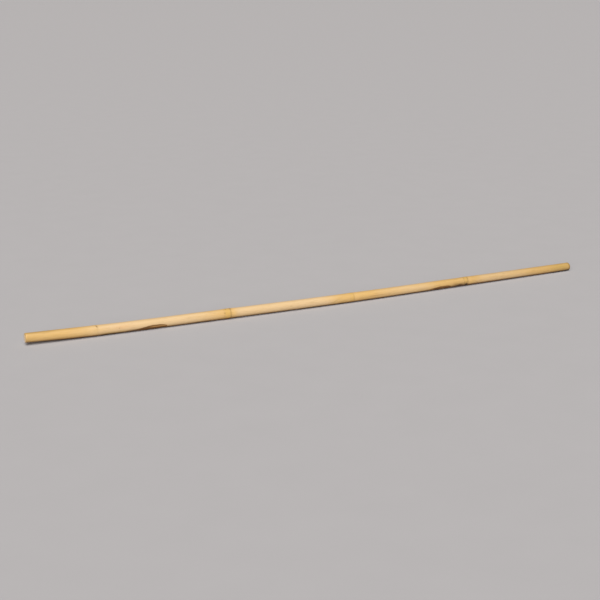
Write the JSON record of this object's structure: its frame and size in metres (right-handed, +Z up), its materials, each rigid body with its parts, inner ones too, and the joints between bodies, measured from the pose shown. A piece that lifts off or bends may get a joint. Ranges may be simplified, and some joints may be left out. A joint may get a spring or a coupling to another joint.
{
  "type": "rattan rod",
  "caption": "Round rattan rod: a natural palm stem with faint ringed joints, slightly bowed and tapered, sawn square at both ends.",
  "frame": {"origin": "bottom centre of the bounding box, on the surface that the rod lies on", "axes": "+X runs along the rod from the end that is a little lifted to the slimmer end, +Z is up, and the middle of the rod bows towards -Y"},
  "size_m": [1.8002, 0.047, 0.0318],
  "materials": {
    "rattan": "satin natural skin, bare, with matt sawn ends"
  },
  "bodies": {
    "root": {"rattan_rod": "rattan"}
  },
  "joints": []
}
